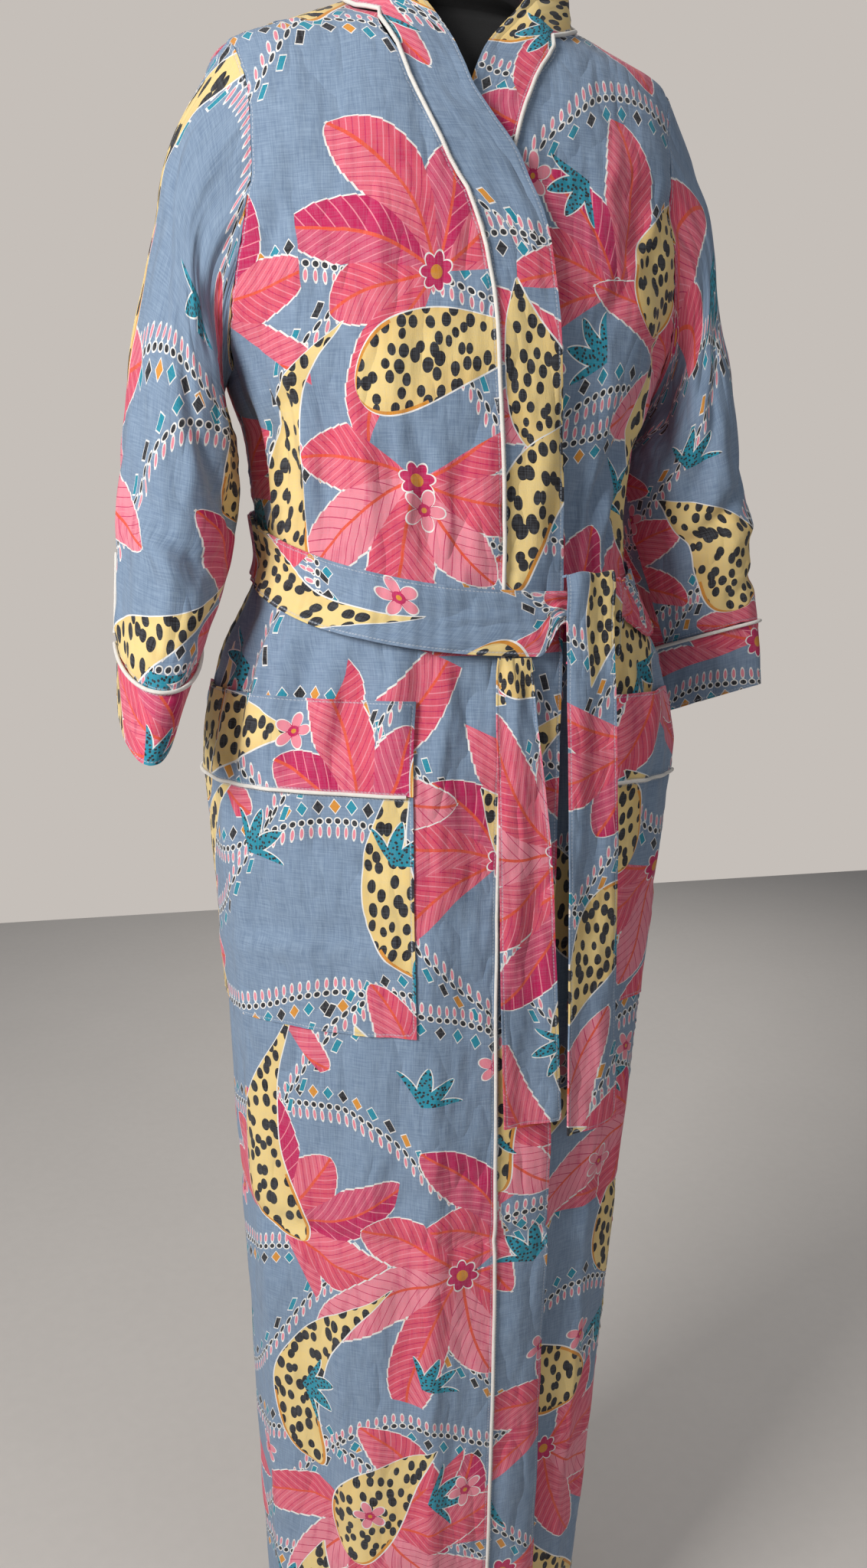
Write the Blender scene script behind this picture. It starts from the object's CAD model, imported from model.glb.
"""Kimono robe on a limbless dress form: cloth, print, piping, stitching, belt, form, light and camera."""
import math

import bpy
import numpy as np
from mathutils import Matrix, Vector


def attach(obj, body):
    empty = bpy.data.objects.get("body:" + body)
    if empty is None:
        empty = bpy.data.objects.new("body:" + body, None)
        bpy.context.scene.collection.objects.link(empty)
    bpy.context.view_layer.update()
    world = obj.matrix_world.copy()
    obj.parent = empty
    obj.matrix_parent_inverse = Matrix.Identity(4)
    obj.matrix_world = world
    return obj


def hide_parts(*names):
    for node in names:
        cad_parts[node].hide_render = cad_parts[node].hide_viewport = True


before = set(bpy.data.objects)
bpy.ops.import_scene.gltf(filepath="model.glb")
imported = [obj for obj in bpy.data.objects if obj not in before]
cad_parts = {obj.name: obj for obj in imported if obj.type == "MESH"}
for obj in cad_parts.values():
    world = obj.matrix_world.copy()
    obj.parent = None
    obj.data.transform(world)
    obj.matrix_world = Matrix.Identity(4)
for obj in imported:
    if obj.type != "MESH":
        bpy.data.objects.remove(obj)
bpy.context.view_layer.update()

bl_info = {
    "name": "Kimono robe on dress form",
    "version": (1, 0, 0),
    "blender": (4, 5, 0),
    "location": "3D View > Sidebar > Robe",
    "description": "Cuts, hangs, prints and lights a kimono robe on its dress form",
    "category": "Mesh",
}

MM = 0.001

# The garment's driving sizes, in millimetres, as in the part's own source
HEM, UNDERARM, SHOULDER_TIP, NECK_POINT = 130.0, 1225.0, 1447.0, 1490.0
WALL = 1.8
SEAM, SEAM_ANGLE = 0.4, 0.3
ARMHOLE_FRONT, ARMHOLE_BACK = 0.45, 0.7
SEAM_SWING_LEFT, SEAM_SWING_RIGHT, SEAM_SETTLED = 0.38, 0.28, 1100.0
LAP_RISE, LAP_START_X, LAP_FULL_X, LAP_TOP, LAP_FULL_Z = 8.5, -104.0, -68.0, 1476.0, 1436.0
BAND_WIDTH, BAND_WALL, BAND_STANDS_FROM, BAND_LEAN = 46.0, 3.0, 1425.0, 0.08
BELT_WIDTH, BELT_WALL, BELT_CLEAR, BELT_RISE, BELT_END_LIFT = 48.0, 2.4, 2.6, 13.0, 1.6
BELT_MIDDLE, BELT_SIDE_DROP, BELT_FRONT_DROP, BELT_BACK_RISE = 1094.0, -11.5, 38.0, 18.0
FRONT_COLUMNS, ARMHOLE_ROWS, SEAM_ROWS = 14, 9, 7
CUFF_HEIGHT, CUFF_SLIT, CUFF_FLARE = 60.0, 0.2, 1.2
ROWS = [130, 205, 285, 365, 445, 525, 600, 660, 705, 745, 812, 872, 932, 966, 1000, 1030, 1058, 1088,
        1118, 1150, 1187, 1225]

# Sections of the worn body: height, centre, half width, front depth, back depth, power
SECTIONS = np.array([
    (130, 2, 145, 114, 104, 2.2), (350, 4, 157, 120, 109, 2.2), (600, 5, 170, 125, 113, 2.25),
    (830, 6, 184, 126, 116, 2.3), (955, 7, 192, 123, 113, 2.3), (1020, 6, 180, 119, 106, 2.3),
    (1070, 5, 155, 114, 98, 2.3), (1102, 4, 144, 113, 96, 2.3), (1140, 0, 146, 116, 100, 2.3),
    (1187, 0, 152, 117, 103, 2.35), (1225, 0, 165, 117, 105, 2.4), (1290, 0, 182, 115, 106, 2.5),
    (1350, 0, 183, 109, 104, 2.5), (1400, 0, 180, 97, 98, 2.5), (1435, 0, 176, 83, 90, 2.4),
    (1449, 0, 170, 76, 85, 2.35), (1470, 0, 124, 64, 76, 2.2), (1490, 0, 73, 52, 66, 2.1),
], float)

# Broad folds: angle round the body, reach, low and high ends, depth
FOLDS = [
    (-2.75, 0.12, 130, 1040, 4), (-2.3, 0.1, 130, 700, -3), (-1.72, 0.05, 130, 1060, 3),
    (-1.05, 0.12, 200, 1000, -3.5), (-0.62, 0.1, 130, 1050, 4), (-0.1, 0.11, 130, 1060, -3.5),
    (0.35, 0.12, 130, 1070, 5), (0.85, 0.12, 150, 1060, -4.5), (1.25, 0.1, 130, 1080, 5),
    (1.7, 0.11, 240, 1080, -4.5), (2.15, 0.12, 130, 1070, 5), (2.6, 0.12, 130, 1060, -4),
    (-0.95, 0.14, 1120, 1330, 4), (-2.2, 0.14, 1130, 1340, 4), (1.1, 0.13, 1120, 1380, 4),
    (2.1, 0.13, 1120, 1390, 4),
]

# Creases by hand: depth, width, sharp or soft, then the points they run through (angle, height)
CREASES = [
    (3.0, 16, True, [(-1.80, 1036), (-1.79, 900), (-1.78, 700), (-1.75, 440), (-1.71, 90)]),
    (-2.0, 16, False, [(-1.96, 1030), (-1.93, 850), (-1.9, 560), (-1.86, 300)]),
    (-1.6, 12, False, [(-2.5, 700), (-2.46, 520), (-2.44, 330), (-2.42, 160)]),
    (1.8, 12, False, [(-2.24, 720), (-2.22, 560), (-2.2, 360), (-2.18, 200)]),
    (-1.8, 12, False, [(-1.2, 620), (-1.16, 480), (-1.14, 330), (-1.12, 180)]),
    (1.6, 10, False, [(-0.94, 600), (-0.9, 440), (-0.88, 300), (-0.86, 170)]),
    (-1.5, 7, True, [(-2.2, 1330), (-2.0, 1300), (-1.8, 1286)]),
    (-1.9, 8, False, [(-1.78, 1106), (-1.8, 1150), (-1.86, 1205)]),
    (1.6, 7, False, [(-2.05, 1110), (-2.08, 1160), (-2.12, 1222)]),
    (-1.7, 8, False, [(-1.7, 1104), (-1.68, 1140), (-1.7, 1180)]),
    (-1.8, 8, False, [(-1.12, 1106), (-1.05, 1150), (-0.98, 1212)]),
    (-2.0, 9, False, [(-2.08, 1044), (-2.08, 1000), (-2.12, 950)]),
    (1.6, 8, False, [(-1.92, 1040), (-1.93, 990), (-1.95, 940)]),
    (-1.6, 8, False, [(-2.3, 900), (-2.1, 880), (-1.9, 872)]),
    (-1.8, 9, True, [(-2.7, 1230), (-2.5, 1262), (-2.3, 1276), (-2.1, 1268)]),
    (-1.6, 8, True, [(-2.75, 1180), (-2.55, 1206), (-2.35, 1212)]),
    (-1.8, 9, True, [(-0.4, 1222), (-0.6, 1256), (-0.82, 1268)]),
    (-1.5, 8, True, [(-0.42, 1170), (-0.6, 1196), (-0.8, 1202)]),
    (1.3, 8, False, [(-1.1, 1290), (-0.9, 1320), (-0.72, 1372)]),
    (-1.5, 9, False, [(-1.25, 1240), (-1.05, 1290), (-0.9, 1360)]),
    (-1.4, 8, False, [(-2.12, 1240), (-2.2, 1300), (-2.3, 1372)]),
    (1.4, 7, False, [(-2.62, 1300), (-2.7, 1350), (-2.74, 1410)]),
    (1.4, 9, True, [(-2.0, 1425), (-2.04, 1366), (-2.04, 1306), (-2.09, 1235)]),
    (-1.5, 5, True, [(-2.96, 812), (-2.5, 822), (-2.2, 826), (-1.8, 823)]),
    (1.1, 7, False, [(-2.96, 798), (-2.5, 806), (-2.1, 812), (-1.8, 808)]),
    (-1.3, 6, True, [(-2.9, 556), (-2.4, 566), (-1.95, 562)]),
    (-1.2, 6, True, [(-1.35, 584), (-1.0, 577), (-0.6, 586)]),
    (-2.2, 9, False, [(-2.18, 1122), (-2.24, 1175), (-2.28, 1240)]),
    (-2.4, 10, False, [(-2.62, 1118), (-2.66, 1180), (-2.72, 1268)]),
    (-1.9, 8, False, [(-1.92, 1112), (-1.96, 1165), (-1.98, 1215)]),
    (1.8, 7, False, [(-2.4, 1118), (-2.44, 1170), (-2.46, 1228)]),
    (-2.0, 8, False, [(-2.86, 1120), (-2.9, 1200), (-3.0, 1260)]),
    (-2.0, 10, False, [(-2.28, 1050), (-2.3, 1000), (-2.34, 930)]),
    (-2.3, 9, False, [(-2.66, 1052), (-2.7, 990), (-2.76, 900)]),
    (1.7, 8, False, [(-2.46, 1050), (-2.5, 985), (-2.54, 940)]),
    (-2.6, 10, False, [(-1.02, 1112), (-0.86, 1165), (-0.62, 1235)]),
    (-2.2, 9, False, [(-0.82, 1110), (-0.6, 1150), (-0.3, 1205)]),
    (1.8, 8, False, [(-0.95, 1108), (-0.74, 1156), (-0.46, 1218)]),
    (-2.0, 9, False, [(-1.28, 1105), (-1.25, 1160), (-1.2, 1240)]),
    (-1.7, 12, False, [(-0.55, 1255), (-0.75, 1300), (-1.0, 1338)]),
    (-1.6, 12, False, [(-2.55, 1262), (-2.4, 1310), (-2.28, 1362)]),
    (-2.2, 10, False, [(-1.2, 1040), (-1.16, 960), (-1.14, 860)]),
    (-2.0, 9, False, [(-0.72, 1044), (-0.66, 985), (-0.62, 905)]),
    (1.6, 8, False, [(-0.92, 1044), (-0.9, 990), (-0.88, 930)]),
    (-2.0, 9, False, [(-0.36, 1048), (-0.3, 980), (-0.26, 900)]),
    (-2.6, 10, False, [(0.62, 1128), (0.66, 1180), (0.7, 1265)]),
    (1.8, 8, False, [(0.86, 1130), (0.88, 1190), (0.9, 1240)]),
    (-2.4, 9, False, [(1.42, 1132), (1.4, 1190), (1.37, 1270)]),
    (-2.2, 9, False, [(1.78, 1132), (1.8, 1182), (1.84, 1250)]),
    (-2.4, 10, False, [(2.44, 1130), (2.42, 1190), (2.38, 1282)]),
    (1.7, 8, False, [(1.6, 1132), (1.6, 1180), (1.6, 1225)]),
    (-2.2, 9, False, [(0.2, 1124), (0.16, 1180), (0.1, 1240)]),
    (-2.6, 10, False, [(0.6, 1072), (0.58, 1000), (0.6, 900)]),
    (-2.4, 9, False, [(1.02, 1076), (1.04, 1010), (1.06, 930)]),
    (1.8, 8, False, [(1.48, 1080), (1.5, 1010), (1.5, 950)]),
    (-2.3, 9, False, [(1.94, 1078), (1.92, 1005), (1.9, 915)]),
    (-2.4, 9, False, [(2.4, 1074), (2.4, 1000), (2.36, 905)]),
    (-2.0, 9, False, [(2.84, 1066), (2.86, 990), (2.88, 900)]),
    (1.6, 9, True, [(1.57, 1060), (1.57, 800), (1.57, 500), (1.57, 150)]),
    (-1.3, 6, True, [(0.3, 560), (0.9, 568), (1.57, 562), (2.2, 570), (2.8, 560)]),
    (-1.3, 6, True, [(0.4, 830), (1.0, 838), (1.57, 832), (2.3, 840)]),
    (-1.6, 12, False, [(0.7, 1395), (1.1, 1360), (1.57, 1350), (2.0, 1362), (2.45, 1398)]),
    (-1.2, 10, False, [(0.8, 1440), (1.2, 1412), (1.57, 1405), (1.95, 1414), (2.35, 1442)]),
]

# Creases of the sleeves: depth, width, points (share round from the underarm up the back, share along)
SLEEVE_CREASES_RIGHT = [
    (-3.0, 11, [(0.86, 0.16), (0.9, 0.3), (0.93, 0.46), (0.9, 0.62)]),
    (2.2, 10, [(0.8, 0.2), (0.84, 0.34), (0.86, 0.5)]),
    (-2.4, 10, [(0.7, 0.3), (0.76, 0.42), (0.84, 0.54), (0.95, 0.6)]),
    (-2.2, 9, [(0.62, 0.56), (0.7, 0.62), (0.8, 0.66), (0.92, 0.66)]),
    (1.8, 9, [(0.6, 0.6), (0.7, 0.67), (0.82, 0.71)]),
    (-1.8, 10, [(0.62, 0.74), (0.7, 0.8), (0.8, 0.84)]),
    (2.0, 7, [(0.56, 0.5), (0.55, 0.62), (0.54, 0.76), (0.53, 0.88)]),
    (-2.2, 11, [(0.58, 0.1), (0.62, 0.24), (0.66, 0.36)]),
    (-2.4, 11, [(0.12, 0.14), (0.1, 0.3), (0.12, 0.48), (0.2, 0.6)]),
    (-2.2, 10, [(0.4, 0.52), (0.3, 0.58), (0.2, 0.62), (0.08, 0.64)]),
    (1.8, 10, [(0.42, 0.6), (0.32, 0.66), (0.2, 0.7)]),
    (-1.8, 10, [(0.36, 0.78), (0.28, 0.82), (0.18, 0.84)]),
    (-2.0, 12, [(0.4, 0.12), (0.34, 0.28), (0.3, 0.4)]),
]
SLEEVE_CREASES_LEFT = [
    (-3.0, 11, [(0.88, 0.14), (0.9, 0.28), (0.88, 0.44), (0.84, 0.56)]),
    (2.2, 10, [(0.8, 0.18), (0.8, 0.32), (0.78, 0.46)]),
    (-2.6, 11, [(0.68, 0.22), (0.74, 0.36), (0.8, 0.5), (0.9, 0.62)]),
    (-2.2, 9, [(0.6, 0.5), (0.7, 0.58), (0.8, 0.62), (0.94, 0.68)]),
    (1.8, 9, [(0.58, 0.58), (0.68, 0.65), (0.8, 0.7)]),
    (-2.0, 9, [(0.64, 0.76), (0.72, 0.78), (0.84, 0.82)]),
    (-2.2, 12, [(0.56, 0.08), (0.6, 0.2), (0.62, 0.34)]),
    (-2.4, 11, [(0.14, 0.16), (0.12, 0.32), (0.16, 0.48)]),
    (-2.2, 10, [(0.42, 0.5), (0.32, 0.58), (0.22, 0.62), (0.1, 0.66)]),
    (1.8, 10, [(0.4, 0.6), (0.3, 0.66), (0.2, 0.71)]),
    (-1.8, 10, [(0.36, 0.8), (0.26, 0.82), (0.16, 0.86)]),
    (-2.0, 12, [(0.42, 0.1), (0.36, 0.26), (0.32, 0.38)]),
]

NECKLINE_RIGHT = [
    (130, 27), (500, 22), (900, 13), (1100, 15), (1205, 8), (1258, 4), (1300, -2), (1339, -15), (1370, -32),
    (1405, -49), (1447, -62), (1490, -70),
]
NECKLINE_LEFT = [
    (130, -24), (500, -18), (900, -10), (1100, -8), (1205, -6), (1283, -2), (1325, 6), (1357, 14), (1385, 22),
    (1410, 31), (1447, 50), (1490, 70),
]

# Rings of the sleeves: x, y, z, back, outward, raise, tilt, twist
SLEEVE_RIGHT = [
    (-187, 6, 1304, 70, 89, 79, 0, 0), (-193, 4, 1262, 72, 67, 67, 0, 0),
    (-198, 1, 1218, 74, 52, 44, 2, 0), (-202, -3, 1174, 76, 45, 20, 5, 0),
    (-206, -8, 1124, 77, 43, 8, 10, 0), (-213, -16, 1080, 78, 38, 3, 17, 0),
    (-223, -26, 1040, 78, 30, 0, 23, 0), (-234, -42, 992, 78, 20, 0, 27, 0),
]
SLEEVE_LEFT = [
    (187, 6, 1304, 70, 89, 79, 0, 0), (193, 5, 1262, 72, 67, 67, 0, 0), (198, 3, 1218, 74, 52, 45, -2, 2),
    (204, 5, 1174, 75, 46, 25, -5, 6), (212, 10, 1124, 75, 42, 14, -9, 14),
    (222, 18, 1078, 75, 36, 8, -14, 24), (234, 28, 1032, 74, 30, 3, -18, 33),
    (248, 40, 968, 73, 25, 0, -21, 40),
]

# Belt ends: height, x and stand-off of the strip, and its width as folded lengthwise, as a share
# The knot: height from the belt's middle, stand-off
END_A = [
    (1030, 33, 17.4, 0.5), (990, 33, 17, 0.6), (900, 36, 17, 0.8), (780, 40, 17, 0.9),
    (668, 46, 17.4, 0.95),
]
END_B = [
    (1090, 78, 18, 0.72), (1091, 79, 23.4, 0.72), (1081, 80, 25.3, 0.72), (1055, 80, 25.5, 0.72),
    (1025, 81, 25, 0.74), (980, 83, 22.5, 0.78), (900, 87, 20, 0.84), (780, 92, 20, 0.88),
    (652, 98, 20.5, 0.92),
]
KNOT_FROM, KNOT_TO = 61.0, 101.0
KNOT = [(29.4, 15), (29.4, 19.9), (21, 22), (0, 22.2), (-21, 22), (-29, 19.9), (-29, 15)]

# Dress form: height, half width, front depth, back depth, power
FORM_SECTIONS = [
    (790, 150, 92, 86, 2.1), (812, 162, 99, 93, 2.1), (860, 168, 102, 96, 2.1), (930, 165, 102, 93, 2.1),
    (1000, 148, 97, 85, 2.1), (1070, 126, 90, 76, 2.1), (1110, 120, 88, 74, 2.1),
    (1160, 126, 93, 79, 2.1), (1230, 140, 102, 87, 2.15), (1290, 152, 103, 92, 2.2),
    (1350, 164, 98, 92, 2.25), (1400, 175, 88, 87, 2.3),
]
FORM_DROP, FORM_INSET, FORM_NECK, FORM_NECK_TOP = 4.0, 6.0, 50.0, 1562.0

# Each sheet: width, length and area of its flat cut and where its print starts, in metres, and the
# thickness it is drawn with, in millimetres
CUTS = {
    "front_right": (0.311, 1.44, 0.361, 0.0, 0.9), "front_left": (0.24, 1.434, 0.268, 0.43, 0.9),
    "back": (0.526, 1.539, 0.633, 1.9, 0.9), "sleeve_right": (0.584, 0.44, 0.1135, 3.1, 0.9),
    "sleeve_left": (0.583, 0.447, 0.1173, 4.3, 0.9), "cuff_right": (0.352, 0.053, 0.0132, 5.2, 1.8),
    "cuff_left": (0.339, 0.064, 0.0196, 6.4, 1.8), "band_right": (0.047, 1.608, 0.0752, 7.7, 2.2),
    "band_left": (0.047, 1.605, 0.0748, 8.6, 2.2), "pocket_right": (0.232, 0.188, 0.0432, 9.3, 0.9),
    "pocket_left": (0.114, 0.188, 0.0207, 10.2, 0.9),
    "pocket_band_right": (0.233, 0.07, 0.0162, 9.8, 1.7),
    "pocket_band_left": (0.118, 0.071, 0.0083, 10.7, 1.7), "belt_wrap": (0.947, 0.048, 0.0434, 11.4, 1.8),
    "belt_end_a": (0.05, 0.366, 0.0182, 13.0, 1.6), "belt_end_b": (0.05, 0.454, 0.0224, 14.0, 1.6),
    "belt_knot": (0.048, 0.072, 0.0033, 15.0, 1.4),
}

# How far a seam's stitches lie in, where the hem's stitches run, and lengths round and along
STITCH_INSET, HEM_TURN, HEM_REACH, FAR_AWAY = 0.4, 16.0, 400.0, 9000.0
ROUND_BODY, ROUND_SLEEVE, SLEEVE_LENGTH = 150.0, 460.0, 440.0
POCKET_GAPE, POCKET_LIFT, POCKET_BAND_LIFT = 12.0, WALL + 0.5 + 1.4, WALL + 0.5 + 2.4

# Angles at which the height of the print is measured, and how far the piping's middle stands off the cloth
CLIMB_RIGHT, CLIMB_LEFT, CLIMB_BACK = -2.04, -1.1, 1.1
PIPING_OFF_SEAM, PIPING_OFF_EDGE = 1.9, 1.5

# The share of the way along a sleeve where its cuff starts, from the distance between rings and their lean
RING_PITCH, RING_LEAN = 60.0, 1.07
CUFF_START = 1 - CUFF_HEIGHT / RING_LEAN / RING_PITCH / len(SLEEVE_LEFT)

# The photo's camera: degrees round, down and rolled, place in metres, focal length and height in pixels
CAMERA_AZIMUTH, CAMERA_PITCH, CAMERA_ROLL = -15, 12, 1.1
CAMERA_PLACE = (-0.25364, -0.94661, 1.12)
PHOTO_FOCAL, PHOTO_HEIGHT, SENSOR = 1550, 2048, 36


def ease(start, end, value):
    t = np.clip((value - start) / (end - start), 0, 1)
    return t * t * (3 - 2 * t)


def table_curve(xs, ys):
    """A smooth curve through a table that never overshoots it."""
    xs, ys = np.asarray(xs, float), np.asarray(ys, float)
    slopes = np.diff(ys) / np.diff(xs)
    tangents = np.concatenate(([slopes[0]], np.zeros(len(xs) - 2), [slopes[-1]]))
    for k in range(1, len(xs) - 1):
        product = slopes[k - 1] * slopes[k]
        tangents[k] = 0 if product <= 0 else 2 * product / (slopes[k - 1] + slopes[k])

    def at(value):
        x = np.clip(value, xs[0], xs[-1])
        k = np.clip(np.searchsorted(xs, x) - 1, 0, len(xs) - 2)
        step = xs[k + 1] - xs[k]
        t = (x - xs[k]) / step
        bend = t * t * (3 - 2 * t)
        turn = step * t * (1 - t) * ((1 - t) * tangents[k] - t * tangents[k + 1])
        return ys[k] + (ys[k + 1] - ys[k]) * bend + turn
    return at


BODY = [table_curve(SECTIONS[:, 0], SECTIONS[:, k]) for k in range(1, 6)]


def super_point(angle, z, centre, half, front, back, power):
    c, s = np.cos(angle), np.sin(angle)
    depth = np.where(s < 0, front, back)
    x = centre + half * np.sign(c) * np.abs(c) ** (2 / power)
    y = depth * np.sign(s) * np.abs(s) ** (2 / power)
    return np.stack(np.broadcast_arrays(x, y, z), -1)


def plain_point(angle, z):
    return super_point(angle, z, *(column(z) for column in BODY))


def unit(vectors):
    return vectors / np.maximum(np.linalg.norm(vectors, axis=-1, keepdims=True), 1e-12)


def body_normal(angle, z):
    low = np.clip(z - 2, HEM, NECK_POINT - 4)
    around = plain_point(angle + 0.02, z) - plain_point(angle - 0.02, z)
    up = plain_point(angle, low + 4) - plain_point(angle, low)
    return unit(np.cross(around, up))


def to_polyline(x, y, points):
    """Distance to a polyline, and the share of the way along it of the nearest point."""
    nearest = np.full(x.shape, 1e9)
    share = np.zeros(x.shape)
    count = len(points) - 1
    for k in range(count):
        (ax, ay), (bx, by) = points[k], points[k + 1]
        dx, dy = bx - ax, by - ay
        t = np.clip(((x - ax) * dx + (y - ay) * dy) / (dx * dx + dy * dy), 0, 1)
        gap = np.hypot(x - ax - t * dx, y - ay - t * dy)
        closer = gap < nearest
        nearest = np.where(closer, gap, nearest)
        share = np.where(closer, (k + t) / count, share)
    return nearest, share


def ripple(a, b, seed):
    """Small uneven waves in two directions, about -1 to 1."""
    s = seed * 1.7
    return (0.4 * np.sin(a * 0.11 + 1.9 * np.sin(b * 0.021 + s) + s)
            + 0.3 * np.sin(a * 0.063 - b * 0.047 + 2 * s)
            + 0.3 * np.sin(b * 0.083 + 1.5 * np.sin(a * 0.034 - s) + 3 * s))


def wrapped(angle):
    """An angle brought to within half a turn of the front."""
    return np.arctan2(np.sin(angle), np.cos(angle))


def fade_ends(share):
    return np.sin(np.pi * np.clip(share, 0.02, 0.98)) ** 0.6


def fold_depth(angle, z):
    """The broad folds alone, which the belt lies over."""
    depth = np.zeros(np.broadcast(angle, z).shape)
    for at, reach, low, high, amount in FOLDS:
        around = wrapped(angle - at) / reach
        depth += amount * np.exp(-around * around) * ease(high, high - 160, z) * ease(low - 60, low + 60, z)
    return depth


def cloth_depth(angle, z):
    """Broad folds, hand-placed creases and faint wrinkles of the cloth, out from the plain body."""
    depth = fold_depth(angle, z)
    strength = bpy.context.scene.robe_cloth.crease_strength
    arc = ROUND_BODY * wrapped(angle + math.pi / 2)
    for number, (amount, width, sharp, points) in enumerate(CREASES):
        path = [(ROUND_BODY * wrapped(a + math.pi / 2), height) for a, height in points]
        gap, share = to_polyline(arc, z, path)
        uneven = 1 + 0.3 * np.sin(share * 9 + number) + 0.2 * np.sin(z * 0.05 + 2 * number)
        shape = np.exp(-gap / width) if sharp else np.exp(-(gap / width) ** 2)
        depth += strength * amount * shape * fade_ends(share) * uneven
    calm = 1 - 0.6 * ease(40, 0, np.abs(z - BELT_MIDDLE))
    crumple = ripple(arc, z, 1) + 0.45 * ripple(arc * 2.3, z * 1.1, 7) * ripple(arc * 0.4, z * 0.6, 3)
    beyond = np.abs(z - belt_middle(angle)) - 25
    gathers = np.sin(arc * 0.19 + 1.8 * np.sin(arc * 0.047 + 1) + 0.4 * np.sin(z * 0.03))
    tied = ease(0, 18, beyond) * ease(170, 30, beyond)
    return depth + 0.5 * strength * calm * crumple + 0.8 * strength * tied * (gathers - 0.45)


def body_point(angle, z, offset):
    return plain_point(angle, z) + body_normal(angle, z) * (offset + cloth_depth(angle, z))[..., None]


def front_angle(x, z):
    across = np.clip((x - BODY[0](z)) / BODY[1](z), -1, 1)
    return -np.arccos(np.sign(across) * np.abs(across) ** (BODY[4](z) / 2))


def lap_rise(x, z):
    return LAP_RISE * ease(LAP_START_X, LAP_FULL_X, x) * ease(LAP_TOP, LAP_FULL_Z, z)


def climb(angle, height):
    """Length of the cloth up the body from the hem to a height."""
    z = np.linspace(HEM, NECK_POINT, 500)
    lengths = run_lengths(plain_point(np.full((1, 500), angle), z[None, :]))[0]
    return np.interp(height, z, lengths)


# Places on the panels, as angle and height
def armhole_place(k, side):
    middle, half = (UNDERARM + SHOULDER_TIP) / 2, (SHOULDER_TIP - UNDERARM) / 2
    turn = math.pi * (1 - k / ARMHOLE_ROWS)
    depth = ARMHOLE_BACK if side > 0 else ARMHOLE_FRONT
    return -SEAM_ANGLE * (1 + np.cos(turn)) / 2 + side * depth * np.sin(turn), middle + half * np.cos(turn)


def nudge(angle, z, distance):
    speed = np.linalg.norm(plain_point(angle + 0.01, z) - plain_point(angle, z), axis=-1) / 0.01
    return angle + distance / speed


def outer_edge(side, swing, shift):
    z = np.array(ROWS, float)
    angle = -swing * ease(UNDERARM, SEAM_SETTLED, z)
    k = np.arange(1, ARMHOLE_ROWS + 1)
    arm_angle, arm_z = armhole_place(k, side)
    angle, z = np.concatenate((angle, arm_angle)), np.concatenate((z, arm_z))
    return np.stack((nudge(angle, z, shift), z), 1)


def neckline_places(line, edge):
    across = table_curve(*zip(*line))
    above = np.arange(len(edge)) - (len(ROWS) - 1)
    z = np.where(above <= 0, edge[:, 1], UNDERARM + (NECK_POINT - UNDERARM) * above / ARMHOLE_ROWS)
    return np.stack((front_angle(across(z), z), z), 1)


def front_places(side):
    swing = SEAM_SWING_RIGHT if side < 0 else SEAM_SWING_LEFT
    edge = outer_edge(-1, -swing if side < 0 else swing, -SEAM / 2)
    neckline = neckline_places(NECKLINE_RIGHT if side < 0 else NECKLINE_LEFT, edge)
    neckline[-1] = (nudge(-SEAM_ANGLE, NECK_POINT, -SEAM / 2), NECK_POINT)
    if side < 0:
        edge[:, 0] = -math.pi - edge[:, 0]
        neckline[-1, 0] = -math.pi - neckline[-1, 0]
    return edge, neckline


def back_places():
    k = np.arange(1, SEAM_ROWS + 1)
    z = SHOULDER_TIP + (NECK_POINT - SHOULDER_TIP) * k / SEAM_ROWS
    shoulder = np.stack((nudge(np.full(z.shape, -SEAM_ANGLE), z, SEAM / 2), z), 1)
    left = np.concatenate((outer_edge(1, SEAM_SWING_LEFT, SEAM / 2), shoulder))
    right = np.concatenate((outer_edge(1, -SEAM_SWING_RIGHT, SEAM / 2), shoulder))
    right[:, 0] = math.pi - right[:, 0]
    return left, right


def fine_rows(places, rows):
    index = np.arange(len(places))
    return np.stack([np.interp(rows, index, column) for column in places.T], 1)


def row_steps(places, pitch):
    """Fractional row numbers about a pitch apart in height."""
    steps = [0.0]
    for k in range(len(places) - 1):
        size = abs(places[k + 1, 1] - places[k, 1]) + 60 * abs(places[k + 1, 0] - places[k, 0])
        count = max(2, int(round(size / pitch)))
        steps.extend(k + (i + 1) / count for i in range(count))
    return np.array(steps)


def spread(start, end, shares):
    """Angles and heights between two edges: rows of columns."""
    angle = start[:, :1] + (end[:, :1] - start[:, :1]) * shares[None, :]
    z = start[:, 1:] + (end[:, 1:] - start[:, 1:]) * shares[None, :]
    return angle, z


def run_lengths(points):
    """Cumulative length along each row of a grid of points."""
    steps = np.linalg.norm(np.diff(points, axis=1), axis=2)
    return np.concatenate((np.zeros((len(points), 1)), np.cumsum(steps, axis=1)), axis=1)


def down_lengths(points):
    """Cumulative length down each column of a grid of points."""
    return run_lengths(points.transpose(1, 0, 2)).T


def side_gap(lengths):
    return np.minimum(lengths, lengths[:, -1:] - lengths)


def end_gap(lengths):
    return np.minimum(lengths, lengths[-1] - lengths)


def pucker(gap, run, seed):
    """Small gathers of the cloth beside a sewn line."""
    wave = np.sin(run * 0.52 + 1.3 * np.sin(run * 0.083 + seed) + seed) + 0.6 * np.sin(run * 0.29 + 2 * seed)
    return 0.6 * np.exp(-gap / 10.0) * wave


# Meshes of cloth
def choose(obj):
    bpy.ops.object.select_all(action="DESELECT")
    obj.select_set(True)
    bpy.context.view_layer.objects.active = obj


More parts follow.
